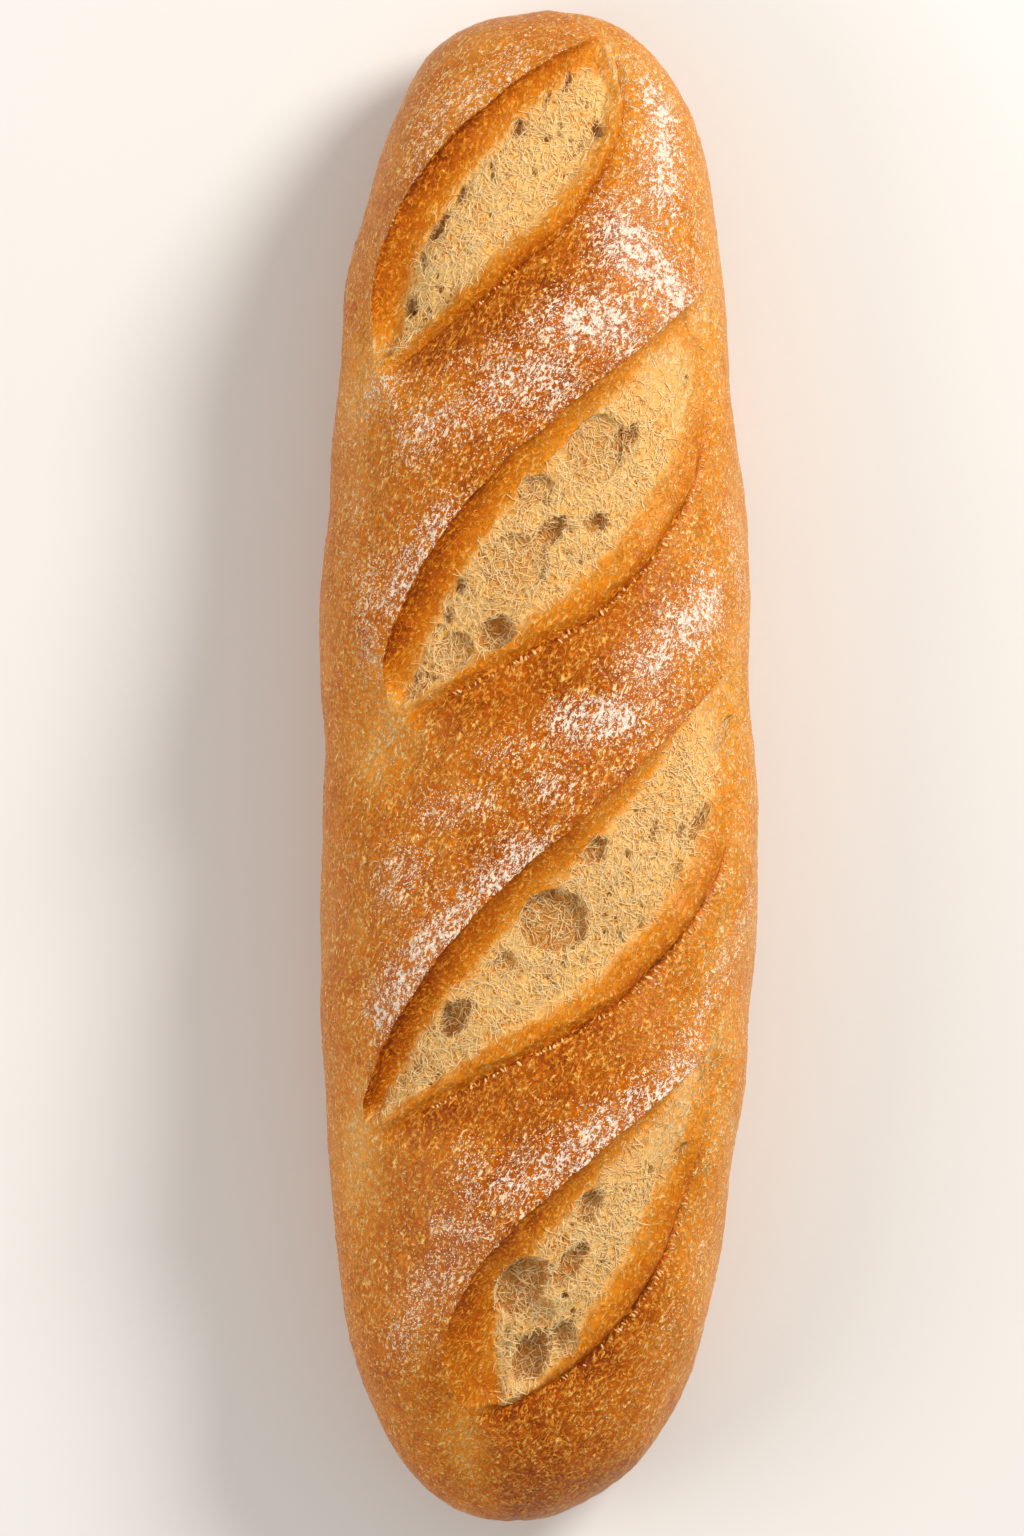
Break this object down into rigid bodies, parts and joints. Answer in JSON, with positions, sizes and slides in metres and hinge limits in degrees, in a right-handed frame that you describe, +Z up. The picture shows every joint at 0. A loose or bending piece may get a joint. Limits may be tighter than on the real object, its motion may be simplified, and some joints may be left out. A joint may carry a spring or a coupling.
{
  "type": "baguette",
  "caption": "Short crusty baguette with diagonal opened scores, floury crust and pale crumb, resting on its flat baked underside.",
  "frame": {"origin": "middle of the box's underside, on the surface that the loaf rests on", "axes": "+X along the loaf towards the end with the score nearest the nose, +Y to the side where each score starts low, +Z up"},
  "size_m": [0.2806, 0.0818, 0.0588],
  "materials": {
    "crust": "matte baked crust, golden brown, dusted with flour",
    "crumb": "matte pale cream crumb with open pores",
    "flour": "matte off-white flour grains"
  },
  "bodies": {
    "root": {"loaf": "crust"}
  },
  "joints": []
}
